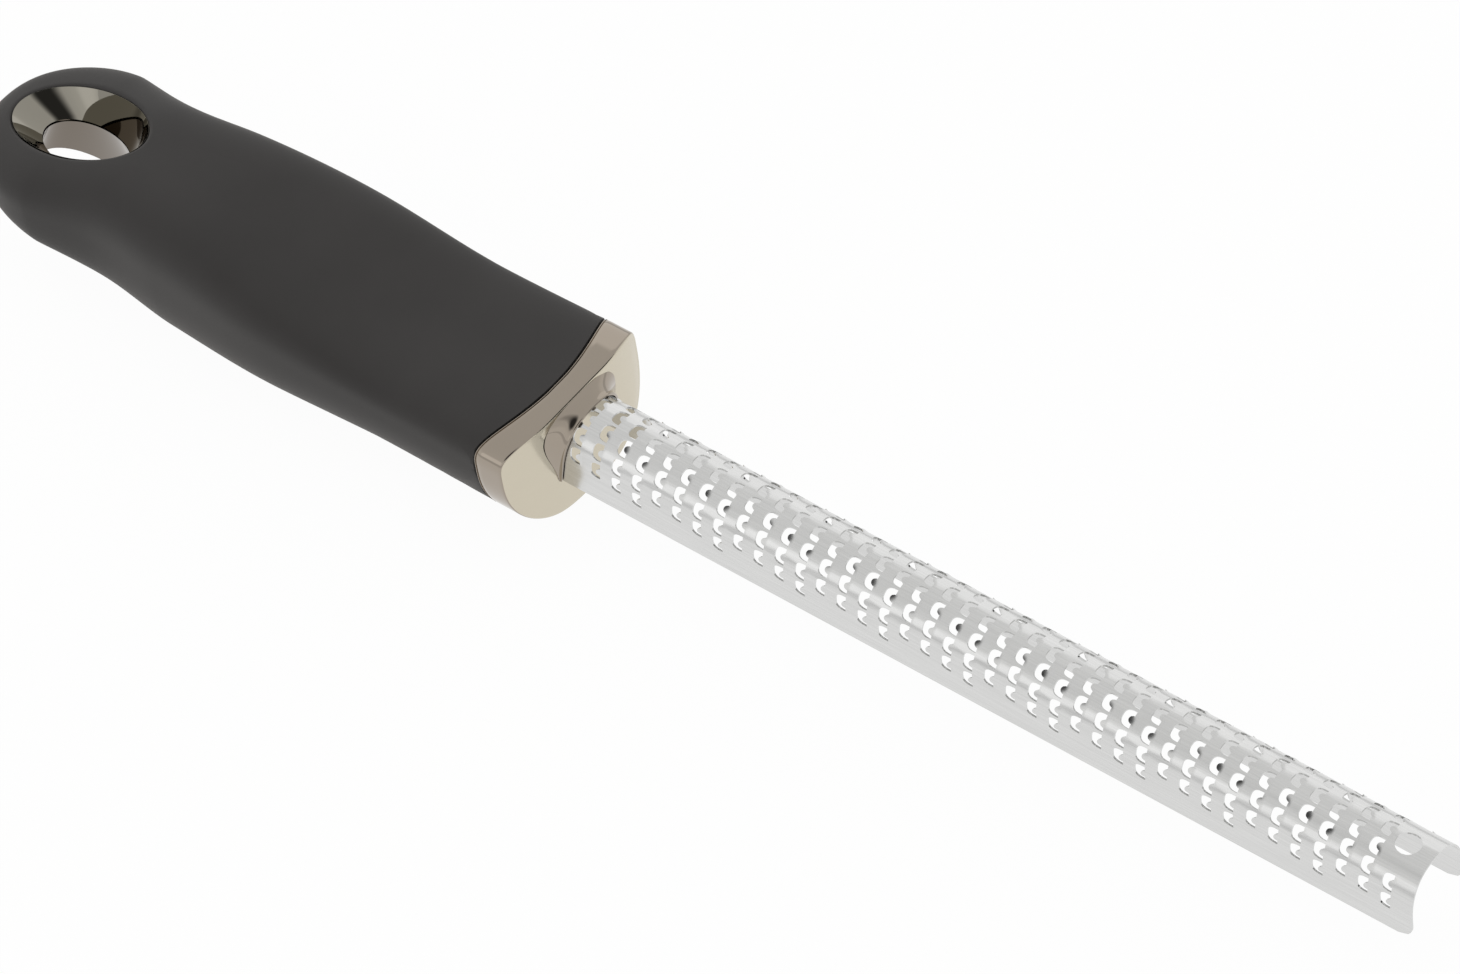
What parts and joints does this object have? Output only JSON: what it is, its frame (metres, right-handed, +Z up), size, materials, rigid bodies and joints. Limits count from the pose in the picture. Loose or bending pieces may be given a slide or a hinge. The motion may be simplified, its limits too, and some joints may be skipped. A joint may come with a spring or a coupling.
{
  "type": "spice grater",
  "caption": "Narrow hand grater for spices: an arched, etched steel blade in a soft black grip with a plated bolster and a plated hanging eye.",
  "frame": {"origin": "on the bolster's flat front face, in the middle plane, level with the blade's two lower edges", "axes": "+X from the handle to the blade's tip, +Z up through the toothed crest, +Y to the left seen from the handle"},
  "size_m": [0.2688, 0.032, 0.0272],
  "materials": {
    "blade_steel": "satin stainless sheet with etched openings",
    "black_chrome": "polished warm black-chrome plating",
    "soft_touch": "matt soft-touch charcoal",
    "core_plastic": "plain moulded plastic, hidden",
    "pin_steel": "plain ground pin, hidden"
  },
  "bodies": {
    "root": {"grater_blade": "blade_steel", "front_bolster": "black_chrome", "soft_grip": "soft_touch", "handle_core_upper": "core_plastic", "handle_core_lower": "core_plastic", "hang_eye_upper": "black_chrome", "hang_eye_lower": "black_chrome", "tang_pin_front": "pin_steel", "tang_pin_rear": "pin_steel"}
  },
  "joints": []
}
